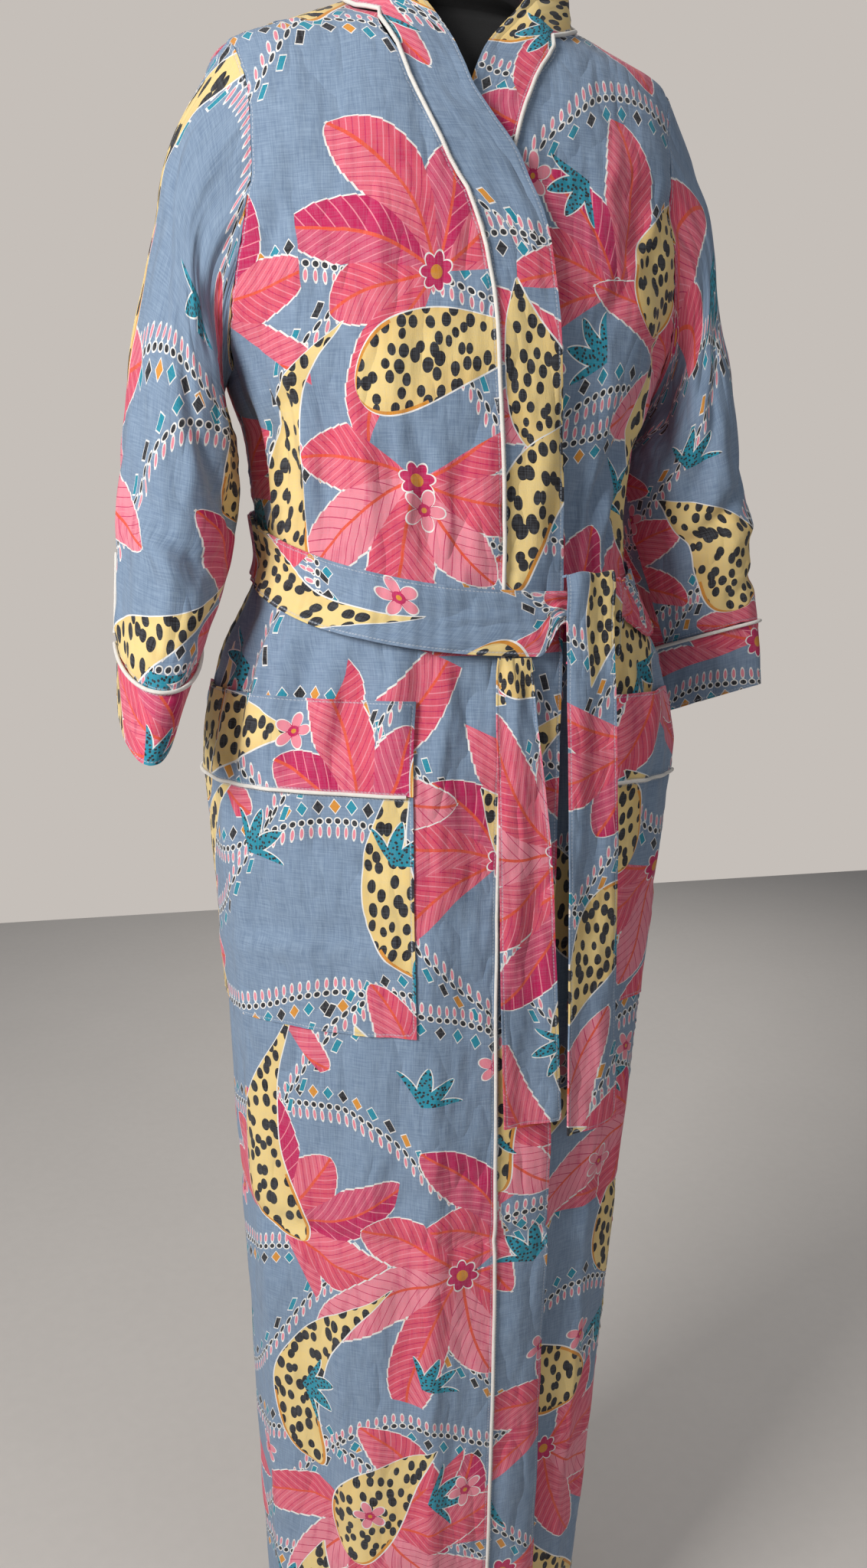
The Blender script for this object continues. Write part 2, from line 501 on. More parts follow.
def grid_quads(rows, columns, ring):
    """Vertex numbers of a grid's quads, and the row and the column, not wrapped, of each corner."""
    spans = columns if ring else columns - 1
    j, i = np.meshgrid(np.arange(rows - 1), np.arange(spans), indexing="ij")
    corners = np.stack([np.stack(pair, -1) for pair in ((j, i), (j, i + 1), (j + 1, i + 1), (j + 1, i))], -2)
    corners = corners.reshape(-1, 4, 2)
    return corners[..., 0] * columns + corners[..., 1] % columns, corners


def sew(node, points, u, v, gap, run, ring=False):
    """A thin shell of cloth from a grid of outer points, with its flat-cut coordinates, in millimetres."""
    width, length, area, print_start, thickness = CUTS[node]
    quads, corners = grid_quads(*points.shape[:2], ring)
    flat = points.reshape(-1, 3)
    if node.startswith(("sleeve", "cuff")):
        centre = np.broadcast_to(points.mean(1, keepdims=True), points.shape)
    else:
        centre = points * (0, 0, 1)
    normal = np.cross(flat[quads[:, 2]] - flat[quads[:, 0]], flat[quads[:, 3]] - flat[quads[:, 1]])
    away = flat[quads].mean(1) - centre.reshape(-1, 3)[quads[:, 0]]
    if (normal * away).sum() < 0:
        quads, corners = quads[:, ::-1], corners[:, ::-1]
    mesh = bpy.data.meshes.new(f"robe_{node}")
    mesh.vertices.add(len(flat))
    mesh.vertices.foreach_set("co", (flat * MM).ravel())
    mesh.loops.add(quads.size)
    mesh.loops.foreach_set("vertex_index", quads.ravel().astype(np.int32))
    mesh.polygons.add(len(quads))
    mesh.polygons.foreach_set("loop_start", np.arange(0, quads.size, 4, dtype=np.int32))
    mesh.polygons.foreach_set("loop_total", np.full(len(quads), 4, dtype=np.int32))
    mesh.update(calc_edges=True)
    uv = np.stack(np.broadcast_arrays(u * MM + print_start, v * MM), -1)
    layer = mesh.uv_layers.new(name="cut")
    layer.data.foreach_set("uv", uv[corners[..., 0], corners[..., 1]].ravel().astype(np.float32))
    for label, values in (("stitch_gap", gap), ("stitch_run", run)):
        field = mesh.attributes.new(label, "FLOAT", "POINT")
        data = np.broadcast_to(values, points.shape[:2]).ravel() * MM
        field.data.foreach_set("value", data.astype(np.float32))
    obj = bpy.data.objects.new(f"robe_{node}", mesh)
    bpy.context.collection.objects.link(obj)
    for material in (print_material("print_right_side", 0.0), print_material("print_wrong_side", 0.5)):
        mesh.materials.append(material)
    shell = obj.modifiers.new("wall", "SOLIDIFY")
    shell.thickness = thickness * MM
    shell.offset = -1
    shell.material_offset = 1
    shell.material_offset_rim = 0
    choose(obj)
    bpy.ops.object.modifier_apply(modifier=shell.name)
    bpy.ops.object.shade_smooth_by_angle(angle=math.radians(50))
    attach(obj, "root")
    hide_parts(node)


# Node building
class Term:
    """A value in a node tree that is added, multiplied and compared like a number."""

    def __init__(self, nodes, socket):
        self.nodes, self.socket = nodes, socket

    def do(self, operation, *others, clamp=False):
        return self.nodes.math(operation, self, *others, clamp=clamp)

    def __add__(self, other):
        return self.do("ADD", other)

    def __sub__(self, other):
        return self.do("SUBTRACT", other)

    def __rsub__(self, other):
        return self.nodes.math("SUBTRACT", other, self)

    def __mul__(self, other):
        return self.do("MULTIPLY", other)

    def __truediv__(self, other):
        return self.do("DIVIDE", other)

    def __pow__(self, other):
        return self.do("POWER", other)

    def __abs__(self):
        return self.do("ABSOLUTE")

    def __lt__(self, other):
        return self.do("LESS_THAN", other)

    def __gt__(self, other):
        return self.do("GREATER_THAN", other)

    def __and__(self, other):
        return self.do("MULTIPLY", other)


class Nodes:
    """Short hand for a material's node tree."""

    def __init__(self, material):
        material.use_nodes = True
        self.tree = material.node_tree
        self.tree.nodes.clear()

    def add(self, kind, settings=None, **inputs):
        node = self.tree.nodes.new(kind)
        for name, value in (settings or {}).items():
            setattr(node, name, value)
        for name, value in inputs.items():
            self.feed(node.inputs[name.replace("_", " ")], value)
        return node

    def term(self, kind, output=0, settings=None, **inputs):
        return Term(self, self.add(kind, settings, **inputs).outputs[output])

    def split(self, kind, **inputs):
        """All the parts that a node takes a value apart into."""
        return [Term(self, socket) for socket in self.add(kind, **inputs).outputs]

    def feed(self, socket, value):
        if isinstance(value, Term):
            self.tree.links.new(value.socket, socket)
        else:
            socket.default_value = value

    def math(self, operation, *values, clamp=False, kind="ShaderNodeMath"):
        node = self.tree.nodes.new(kind)
        node.operation = operation
        if clamp:
            node.use_clamp = True
        for socket, value in zip(node.inputs, values):
            self.feed(socket, value)
        return Term(self, node.outputs[0])

    def mix(self, share, first, second):
        node = self.tree.nodes.new("ShaderNodeMix")
        node.data_type = "RGBA"
        self.feed(node.inputs["Factor"], share)
        for socket, value in ((node.inputs[6], first), (node.inputs[7], second)):
            self.feed(socket, value if isinstance(value, Term) else (*value[:3], 1.0))
        return Term(self, node.outputs[2])

    def noise(self, vector, scale, detail=2.0, stretch=(1, 1, 1)):
        place = self.term("ShaderNodeMapping", Vector=vector, Scale=stretch)
        return self.term("ShaderNodeTexNoise", "Fac", Vector=place, Scale=scale, Detail=detail)

    def cells(self, vector, scale, randomness):
        return self.add("ShaderNodeTexVoronoi", {"voronoi_dimensions": "2D"}, Vector=vector, Scale=scale,
                        Randomness=randomness)

    def spots(self, vector, scale, randomness):
        return Term(self, self.cells(vector, scale, randomness).outputs["Distance"])

    def finish(self, **inputs):
        shader = self.term("ShaderNodeBsdfPrincipled", **inputs)
        self.add("ShaderNodeOutputMaterial", Surface=shader)


def cell(n, uv, size, shift, randomness, swing, lean=0.0):
    """One motif's own coordinates in each cell of an uneven grid: across, along and two random numbers."""
    place = n.term("ShaderNodeMapping", Vector=uv, Location=(*shift, 0))
    voronoi = n.cells(place, 1 / size, randomness)
    away = n.math("SUBTRACT", place, Term(n, voronoi.outputs["Position"]), kind="ShaderNodeVectorMath")
    x, y = n.split("ShaderNodeSeparateXYZ", Vector=away)[:2]
    red, green, blue = n.split("ShaderNodeSeparateColor", Color=Term(n, voronoi.outputs["Color"]))
    turn = red * swing + (lean - swing / 2)
    c, s = turn.do("COSINE"), turn.do("SINE")
    return x * c - y * s, x * s + y * c, green, blue


def polar(x, y):
    return x.do("ARCTAN2", y), (x * x + y * y).do("SQRT")


def hump(t, power):
    """0 at both ends of 0 to 1 and 1 in the middle."""
    return (t * (1.0 - t) * 4.0).do("MAXIMUM", 0.0) ** power


def print_material(name, fade):
    """Cotton with a generic print: leaf fans, spotted paisleys, flowers, teal leaves and garlands."""
    known = bpy.data.materials.get(name)
    if known:
        return known
    p = bpy.context.scene.robe_print
    material = bpy.data.materials.new(name)
    n = Nodes(material)
    uv = n.term("ShaderNodeUVMap", 0, {"uv_map": "cut"})
    wobble = n.term("ShaderNodeTexNoise", "Color", Vector=uv, Scale=9.0, Detail=1.0)
    cloth = n.math("MULTIPLY_ADD", wobble, (0.02, 0.02, 0.0), uv, kind="ShaderNodeVectorMath")
    line = p.outline_width

    # Ground, with faint slubs of the yarn
    slub = n.noise(uv, 1.0, 3.0, (1100, 60, 1)) + n.noise(uv, 1.0, 3.0, (60, 1100, 1))
    colour = n.mix(slub.do("MULTIPLY_ADD", 1.6, -1.1, clamp=True), p.ground_dark, p.ground)

    # Garlands: curved rows of lozenges, dots and small ovals
    u, v = n.split("ShaderNodeSeparateXYZ", Vector=cloth)[:2]
    lozenge, bead_step = 0.0052, 0.0068
    for number, (step, lean, spacing, start) in enumerate((
            (0.31, 0.35, 0.0125, 0.05), (0.37, -0.5, 0.015, 0.21))):
        height = u * lean + start + v + (u * (17.0 + 4 * number)).do("SINE") * 0.045
        off = height.do("PINGPONG", step / 2) - step / 4
        along = abs(((u / spacing).do("FRACT") - 0.5) * spacing)
        even = ((u / spacing).do("FLOOR") / 3.0).do("FRACT")
        reach = abs(off) + along * 1.3
        ink = n.mix(even < 0.2, p.spot, p.teal)
        ink = n.mix((even > 0.6) & (even < 0.7), ink, p.teal if number else p.amber)
        colour = n.mix(reach < lozenge + 0.001, colour, p.outline)
        colour = n.mix(reach < lozenge, colour, ink)
        close = ((u / bead_step).do("FRACT") - 0.5) * bead_step
        for far, wide, tall, tint in ((0.011, 0.0021, 0.0021, p.spot), (0.019, 0.0012, 0.0036, p.leaf_light)):
            bead = (close / wide) ** 2.0 + (abs(off - far) / tall) ** 2.0
            colour = n.mix(bead < 2.1, colour, p.outline)
            colour = n.mix(bead < 1.0, colour, tint)

    # Fans of feathered leaves
    leaf_width, barb, heart_size = 0.0235, 0.0105, 0.0082
    for number, (size, shift, leaves, length) in enumerate((
            (0.25, (0.03, 0.11), 9.0, 0.132), (0.31, (1.37, 0.52), 8.0, 0.158))):
        x, y, green, blue = cell(n, cloth, size, shift, 0.55, 1.3, math.pi if number else 0.0)
        angle, radius = polar(x, y)
        step = 2 * math.pi / leaves
        turn = (radius * 3.2 + angle) / step
        leaf = turn.do("FLOOR")
        side = (turn.do("FRACT") - 0.5) * step
        across, along = side.do("SINE") * radius, side.do("COSINE") * radius
        reach = (leaf * 2.4 + green * 9.0).do("SINE") * (0.22 * length) + 0.8 * length
        share = along / reach
        off = abs(across)
        feather = ((along - off * 1.1) / barb).do("FRACT")
        edge = hump(share, 0.62) * leaf_width * (1.0 - feather * 0.05)
        there = blue < 0.9
        shows = (abs(angle) < 2.15) & there & (share < 1.01)
        colour = n.mix((off < edge + line) & shows, colour, p.outline)
        odd = ((leaf + 20.0) * 0.382).do("FRACT") < 0.34
        body = n.mix(odd, p.leaf, p.leaf_light if number else p.magenta)
        body = n.mix((across < 0.0) * 0.35, body, p.leaf_light)
        streak = n.noise(cloth, 1.0, 2.0, (140, 30, 1))
        body = n.mix(streak.do("MULTIPLY_ADD", 2.4, -1.25, clamp=True), body, p.magenta)
        body = n.mix(feather < 0.1, body, p.leaf_light)
        body = n.mix((feather > 0.52) & (feather < 0.6), body, p.magenta)
        body = n.mix(off < 0.0011, body, p.midrib)
        colour = n.mix((off < edge) & shows, colour, body)
        heart = radius - abs((angle * 3.5).do("COSINE")) * 0.004
        colour = n.mix((heart < heart_size + line) & there, colour, p.outline)
        core = n.mix(radius < 0.0045, p.magenta, p.amber)
        colour = n.mix((heart < heart_size) & there, colour, core)

    # Spotted paisleys
    for number, (size, shift, length, broad, curl, swing) in enumerate((
            (0.225, (2.2, 0.7), 0.135, 0.082, 0.075, 2.4), (0.27, (5.1, 3.3), 0.19, 0.062, 0.19, 1.6))):
        x, y, green, blue = cell(n, cloth, size, shift, 0.7, swing)
        share = y / length + 0.5
        off = abs(x - (share - 0.35) * (share - 0.35) * curl)
        width = share.do("MAXIMUM", 0.0) ** 0.5 * (1.0 - share).do("MAXIMUM", 0.0) * broad
        shows = (green < 0.86) & (share < 1.0) & (share > 0.0)
        colour = n.mix((off < width + line) & shows, colour, p.outline)
        stretched = n.term("ShaderNodeMapping", Vector=cloth, Rotation=(0, 0, 0.5 + number),
                           Scale=(1.25, 0.85, 1))
        spots = n.spots(stretched, 92.0 - 10 * number, 0.8)
        tint = n.mix((off / 0.03).do("SUBTRACT", 0.25, clamp=True), p.cream, p.cream_dark)
        tint = n.mix(spots < n.noise(cloth, 55.0, 1.0) * 0.5 + 0.1, tint, p.spot)
        tint = n.mix((off > width - 0.0026) & (share < 0.3), tint, p.amber)
        colour = n.mix((off < width) & shows, colour, tint)

    # Small teal leaves in threes
    leaf_length, leaf_width = 0.034, 0.0052
    x, y, green, blue = cell(n, cloth, 0.118, (7.4, 4.9), 0.75, 6.0)
    angle, radius = polar(x, y)
    off = abs((angle + 0.35).do("PINGPONG", 0.35).do("SINE") * radius)
    share = radius / leaf_length
    width = hump(share, 0.8) * leaf_width
    shows = (abs(angle) < 1.05) & (green < 0.45) & (share < 1.0)
    colour = n.mix((off < width + line * 0.8) & shows, colour, p.outline)
    tint = n.mix(n.spots(cloth, 300.0, 0.9) < 0.28, p.teal, p.spot)
    colour = n.mix((off < width) & shows, colour, tint)

    # Five-petalled flowers
    x, y, green, blue = cell(n, cloth, 0.135, (3.9, 8.2), 0.8, 6.0)
    angle, radius = polar(x, y)
    petal = abs((angle * 2.5).do("COSINE"))
    rim = petal * 0.0092 + 0.0048
    shows = green < 0.42
    colour = n.mix((radius < rim + line) & shows, colour, p.outline)
    tint = n.mix(petal < 0.3, p.leaf_light, p.magenta)
    tint = n.mix(radius < 0.0042, tint, p.magenta)
    tint = n.mix(radius < 0.0018, tint, p.amber)
    colour = n.mix((radius < rim) & shows, colour, tint)

    # The yarn breaks the ink up a little, and the wrong side is paler
    colour = n.mix(slub.do("MULTIPLY_ADD", 0.9, -0.72, clamp=True) * 0.3, colour, p.yarn)
    if fade:
        colour = n.mix(fade, colour, p.yarn)

    # Sewn lines beside the edges
    inset, thread_half, groove_half, stitched = 0.0022, 0.00042, 0.0014, 0.68
    gap = n.term("ShaderNodeAttribute", "Fac", {"attribute_name": "stitch_gap"})
    run = n.term("ShaderNodeAttribute", "Fac", {"attribute_name": "stitch_run"})
    off = abs(gap - inset)
    stitch = (off < thread_half) & ((run / p.stitch_length).do("FRACT") < stitched)
    groove = n.math("SUBTRACT", 1.0, off / groove_half, clamp=True)
    colour = n.mix(stitch * 0.55, colour, p.thread)
    colour = n.mix(groove * (1.0 - stitch) * 0.22, colour, p.ground_dark)

    # Weave, slubs and stitches in relief, over soft long crumples
    weave = n.noise(uv, 1.0, 1.0, (2300, 420, 1)) + n.noise(uv, 1.0, 1.0, (420, 2300, 1))
    height = weave + slub + stitch * 1.2 - groove * 1.6
    ridges = abs(n.noise(uv, 24.0, 2.5, (1.0, 0.38, 1.0)) - 0.5)
    creases = n.term("ShaderNodeBump", Height=ridges * 3.0, Strength=0.7, Distance=0.007)
    relief = n.term("ShaderNodeBump", Height=height, Normal=creases, Strength=0.35, Distance=0.00035)
    n.finish(Base_Color=colour, Normal=relief, Roughness=0.82, Specular_IOR_Level=0.25, Sheen_Weight=0.15,
             Sheen_Roughness=0.5)
    return material


def plain_material(name, colour, roughness, scale, uneven, relief, sheen=0.0, twist=0.0):
    """A finish with faint uneven colour and a fine relief, in metres."""
    known = bpy.data.materials.get(name)
    if known:
        return known
    material = bpy.data.materials.new(name)
    n = Nodes(material)
    place = n.term("ShaderNodeTexCoord", "Object")
    fine = n.noise(place, scale)
    darker = tuple(c * (1 - uneven) for c in colour)
    lighter = tuple(min(1, c * (1 + uneven)) for c in colour)
    both = n.noise(place, scale * 0.08, 3.0) + fine
    tint = n.mix(both.do("MULTIPLY_ADD", 1.4, -0.9, clamp=True), darker, lighter)
    if twist:
        wave = n.term("ShaderNodeTexWave", "Fac", {"bands_direction": "DIAGONAL"}, Vector=place,
                      Scale=twist, Distortion=1.5)
        fine = fine + wave * 2.0
    bump = n.term("ShaderNodeBump", Height=fine, Strength=0.4, Distance=relief)
    n.finish(Base_Color=tint, Normal=bump, Roughness=roughness, Sheen_Weight=sheen)
    return material


# The robe's pieces
def word(side):
    return "right" if side < 0 else "left"


def front_points(side, rows, shares, offset):
    """Points on a front, or on what lies on it, with the rise of the lap."""
    edge, neckline = front_places(side)
    angle, z = spread(fine_rows(edge, rows), fine_rows(neckline, rows), shares)
    lift = lap_rise(plain_point(angle, z)[..., 0], z) if side < 0 else 0.0
    return angle, z, body_point(angle, z, offset + lift)


def sew_panel(node, points, u, v, z, lengths):
    """A hanging panel with stitches beside its hem and seams."""
    seam_gap = side_gap(lengths)
    hem_gap = np.where(z < HEM_REACH, np.abs(z - HEM - HEM_TURN), FAR_AWAY)
    gap = np.minimum(hem_gap, seam_gap + STITCH_INSET)
    sew(node, points, u, v, gap, np.where(hem_gap < seam_gap, lengths, z))


def make_front(side):
    rows = row_steps(front_places(side)[0], bpy.context.scene.robe_cloth.grid_pitch * 1000)
    angle, z, points = front_points(side, rows, np.linspace(0, 1, 64), WALL)
    lengths = run_lengths(points)
    points = points + body_normal(angle, z) * pucker(side_gap(lengths), z, 2 + side)[..., None]
    fresh = run_lengths(points)
    u = points[:, -1:, 0] + side * (fresh[:, -1:] - fresh)
    sew_panel(f"front_{word(side)}", points, u, climb(CLIMB_LEFT if side > 0 else CLIMB_RIGHT, z), z, lengths)


def make_back():
    left, right = back_places()
    rows = row_steps(left, bpy.context.scene.robe_cloth.grid_pitch * 1000)
    angle, z = spread(fine_rows(left, rows), fine_rows(right, rows), np.linspace(0, 1, 110))
    points = body_point(angle, z, WALL)
    lengths = run_lengths(points)
    points = points + body_normal(angle, z) * pucker(side_gap(lengths), z, 5)[..., None]
    sew_panel("back", points, lengths - lengths[:, -1:] / 2, climb(CLIMB_BACK, z), z, lengths)


def centripetal(rings, shares):
    """Points at shares 0 to 1 along centripetal curves through the rings: shares, columns, 3."""
    rings = np.asarray(rings, float)
    padded = np.concatenate((2 * rings[:1] - rings[1:2], rings, 2 * rings[-1:] - rings[-2:-1]))
    result = []
    for share in shares:
        place = share * (len(rings) - 1)
        k = min(int(place), len(rings) - 2)
        t = place - k
        p0, p1, p2, p3 = padded[k:k + 4]
        d0, d1, d2 = (np.maximum(np.linalg.norm(b - a, axis=-1, keepdims=True), 1e-6) ** 0.5
                      for a, b in ((p0, p1), (p1, p2), (p2, p3)))
        m1 = ((p1 - p0) / d0 - (p2 - p0) / (d0 + d1) + (p2 - p1) / d1) * d1
        m2 = ((p2 - p1) / d1 - (p3 - p1) / (d1 + d2) + (p3 - p2) / d2) * d1
        result.append(p1 + m1 * t + (-3 * p1 + 3 * p2 - 2 * m1 - m2) * t * t
                      + (2 * p1 - 2 * p2 + m1 + m2) * t ** 3)
    return np.array(result)


def sleeve_rings(side, around):
    """The armhole and the rings of a sleeve, at shares of the way round from the underarm up the back."""
    behind = around <= 0.5
    k = np.where(behind, around, 1 - around) * 2 * ARMHOLE_ROWS
    edges = []
    for way in (1, -1):
        angle, z = armhole_place(k, way)
        angle = nudge(angle, z, way * SEAM / 2)
        edges.append(body_point(way * math.pi - angle if side < 0 else angle, z, WALL))
    start = np.where(behind[:, None], *edges)
    start[:, 0] += side * (SEAM + 0.2)
    rings = [start]
    turn = 2 * math.pi * around[:, None]
    for x, y, z, back, outward, raised, tilt, twist in (SLEEVE_RIGHT if side < 0 else SLEEVE_LEFT):
        raised, tilt, twist = (math.radians(a) for a in (raised, tilt, twist * side))
        out = np.array((side * math.cos(twist) * math.cos(raised), side * math.sin(twist) * math.cos(raised),
                        math.sin(raised)))
        rear = np.array((-math.sin(twist) * math.cos(tilt), math.cos(twist) * math.cos(tilt), math.sin(tilt)))
        rings.append(np.array((x, y, z)) + rear * back * np.sin(turn) - out * outward * np.cos(turn))
    return rings


def grid_normals(points, ring=False):
    if ring:
        across = np.roll(points, -1, 1) - np.roll(points, 1, 1)
    else:
        across = np.gradient(points, axis=1)
    return unit(np.cross(across, np.gradient(points, axis=0)))


def sleeve_depth(around, along, side):
    strength = bpy.context.scene.robe_cloth.crease_strength
    a, b = np.meshgrid(around * ROUND_SLEEVE, along * SLEEVE_LENGTH)
    depth = 0.45 * strength * ripple(a * 1.3, b * 1.5, 3 + side)
    depth += 0.25 * strength * ripple(a * 2.6, b * 2.1, 6 + side)
    creases = SLEEVE_CREASES_RIGHT if side < 0 else SLEEVE_CREASES_LEFT
    for number, (amount, width, points) in enumerate(creases):
        for turn in (-1, 0, 1):
            path = [((k + turn) * ROUND_SLEEVE, t * SLEEVE_LENGTH) for k, t in points]
            gap, share = to_polyline(a, b, path)
            uneven = 1 + 0.3 * np.sin(share * 8 + number)
            depth += strength * amount * np.exp(-(gap / width) ** 2) * fade_ends(share) * uneven
    calm = ease(0.0, 0.08, along) * ease(1.0, 0.9, along)
    return depth * calm[:, None]


def make_sleeve(side):
    count = 132
    around = np.arange(count) / count
    along = np.linspace(0, CUFF_START - 0.001, 96)
    points = centripetal(sleeve_rings(side, around), along)
    lengths = down_lengths(points)
    depth = sleeve_depth(around, along, side)
    depth = depth + pucker(lengths, around[None, :] * ROUND_SLEEVE, 4) * ease(0, 12, lengths)
    points = points + grid_normals(points, True) * side * depth[..., None]
    girth = run_lengths(np.concatenate((points, points[:, :1]), 1))
    gap = np.minimum(lengths, lengths[-1] - lengths + STITCH_INSET)
    sew(f"sleeve_{word(side)}", points, girth - girth[:, -1:] / 2, -lengths.mean(1)[:, None], gap,
        around[None, :] * SLEEVE_LENGTH, ring=True)


def cuff_grid(side):
    slit = CUFF_SLIT / (2 * ARMHOLE_ROWS)
    around = np.linspace(0.5 + slit, 1.5 - slit, 130) % 1.0
    points = centripetal(sleeve_rings(side, around), np.linspace(CUFF_START + 0.001, 1, 16))
    normals = grid_normals(points) * side
    return points + normals * CUFF_FLARE, normals


def make_cuff(side):
    points, normals = cuff_grid(side)
    down, girth = down_lengths(points), run_lengths(points)
    wave = 0.5 * ripple(girth * 1.6, down * 2.2, 6 + side) * ease(0, 8, down)
    points = points + normals * (wave + pucker(down, girth, 3) * 0.8)[..., None]
    gap = np.minimum(np.minimum(down + STITCH_INSET, down[-1] - down), side_gap(girth))
    sew(f"cuff_{word(side)}", points, girth, -down, gap, girth + down)


def band_grid(side):
    """The neckband's outer surface and its seam points."""
    line = NECKLINE_RIGHT if side < 0 else NECKLINE_LEFT
    across = table_curve(*zip(*line))
    neckline = front_places(side)[1]
    rows = row_steps(neckline, 6.0)
    front = fine_rows(neckline, rows)
    left, right = back_places()
    shares = np.linspace(0, 0.5, 32)[1:] if side > 0 else np.linspace(1, 0.5, 32)[1:]
    back_angle, back_z = spread(left[-1:], right[-1:], shares)
    angle = np.concatenate((front[:, 0], back_angle[0]))
    z = np.concatenate((front[:, 1], back_z[0]))
    lift = lap_rise(plain_point(angle, z)[:, 0], z) if side < 0 else np.zeros(len(z))
    lift[len(front):] = 0
    seam = body_point(angle, z, WALL + lift)
    z = np.minimum(seam[:, 2], NECK_POINT)
    x = across(z)
    slope = (across(z + 3) - across(z - 3)) / 6
    size = np.hypot(1, slope)
    stand = ease(BAND_STANDS_FROM, NECK_POINT, z)
    stand[len(front):] = 1
    lead = seam.copy()
    lead[:, 2] = 0
    lead = unit(lead)
    up = unit(np.array((0, 0, 1.0)) - lead * BAND_LEAN)
    eased = BAND_WIDTH - 7 * ease(1330, 1400, z) * ease(NECK_POINT + 8, 1450, z)
    width = SEAM + 0.2 + eased[:, None] * np.linspace(0, 1, 13)[None, :]
    px = x[:, None] - side * width / size[:, None]
    pz = np.minimum(z[:, None] + side * width * (slope / size)[:, None], NECK_POINT)
    rise = lap_rise(px, np.minimum(pz, LAP_FULL_Z + 0.4 * (pz - LAP_FULL_Z))) if side < 0 else 0.0
    flat = body_point(front_angle(px, pz), pz, rise + BAND_WALL)
    risen = seam[:, None] + up[:, None] * width[:, :, None] + lead[:, None] * (BAND_WALL - WALL)
    points = flat + (risen - flat) * stand[:, None, None]
    if side < 0:
        points[-1, :, 0] -= SEAM
    return points, seam


def make_band(side):
    points = band_grid(side)[0]
    run = down_lengths(points)
    across = np.broadcast_to(np.linspace(0, BAND_WIDTH, 13), run.shape)
    settle = ease(0, 40, run) * ease(0, 30, run[-1] - run)
    wave = (0.5 * ripple(run, across * 2, 8 + side) + pucker(across, run, 4)) * settle
    points = points - grid_normals(points) * side * wave[..., None]
    gap = np.minimum(across, BAND_WIDTH - across)
    sew(f"band_{word(side)}", points, across, run, gap, run)


def pocket_grid(side, low, high, offset, rows):
    steps = np.linspace(low, high, rows)
    shares = np.linspace(1, 12 if side < 0 else 9, 60) / FRONT_COLUMNS
    gape = 0.0 if side < 0 else POCKET_GAPE
    mouth = gape * np.sin(np.pi * np.linspace(0, 1, 60))[None, :] ** 2 * ease(11, 14, steps)[:, None]
    return front_points(side, steps, shares, offset + mouth)


def make_pocket(side):
    for piece, low, high, lift, rows, inset in (
            ("pocket", 9, 11.99, POCKET_LIFT, 30, 0.0), ("pocket_band", 12, 14, POCKET_BAND_LIFT, 14, 0.2)):
        angle, z, points = pocket_grid(side, low, high, lift, rows)
        girth, rise = run_lengths(points), down_lengths(points)
        edge = np.minimum(side_gap(girth), end_gap(rise) + inset)
        out = 0.6 * ripple(girth * 1.4, rise * 1.8, 11 + side) * ease(0, 25, edge)
        out = out + np.abs(pucker(edge, girth + rise, 6))
        points = points + body_normal(angle, z) * out[..., None]
        sew(f"{piece}_{word(side)}", points, girth, z, edge, girth + rise)


# Belt
def belt_middle(angle):
    s = np.sin(angle)
    return BELT_MIDDLE + BELT_SIDE_DROP * np.cos(angle) + s * np.where(s < 0, BELT_FRONT_DROP, BELT_BACK_RISE)


def make_belt_wrap():
    angle = np.linspace(0, 2 * math.pi, 460, endpoint=False)[None, :]
    across = np.linspace(-0.5, 0.5, 15)[:, None] * BELT_WIDTH
    x = plain_point(angle, belt_middle(angle))[..., 0]
    # Pinched to half its width where the knot sits
    pinch = np.where(angle > math.pi, ease(36, 58, x) * ease(142, 116, x), 0)
    z = belt_middle(angle) + BELT_WIDTH / 2 - (BELT_WIDTH / 2 - across) * (1 - 0.5 * pinch)
    angle = np.broadcast_to(angle, z.shape)
    x = plain_point(angle, z)[..., 0]
    rise = BELT_RISE * ease(LAP_START_X - 12, LAP_FULL_X - 6, x) * ease(128, 100, x)
    rise = np.where(angle > math.pi, rise, 0)
    arc = angle * 135
    folds = 0.75 * np.sin(arc * 0.31 + 1.2 * np.sin(arc * 0.07) + 0.02 * across) * (
        0.6 + 0.4 * np.sin(arc * 0.045 + 1)) + 0.35 * np.sin(arc * 0.77 + 0.05 * across)
    lie = 0.9 * np.cos(across / BELT_WIDTH * math.pi) * np.sin(arc * 0.013 + 2)
    lie = lie + 1.1 * pinch * np.sin(across * 0.42 + 0.6)
    out = WALL + BELT_CLEAR + BELT_WALL + rise + fold_depth(angle, z) + folds + lie
    points = plain_point(angle, z) + body_normal(angle, z) * out[..., None]
    girth = run_lengths(np.concatenate((points, points[:, :1]), 1))
    sew("belt_wrap", points, across, girth, BELT_WIDTH / 2 - np.abs(across), girth[:, :-1], ring=True)


def hanging_point(x, z, offset):
    angle = front_angle(x, z)
    return plain_point(angle, z) + body_normal(angle, z) * (offset + WALL + fold_depth(angle, z))[..., None]


def facing_front(points):
    normals = grid_normals(points)
    return -normals if normals[..., 1].mean() > 0 else normals


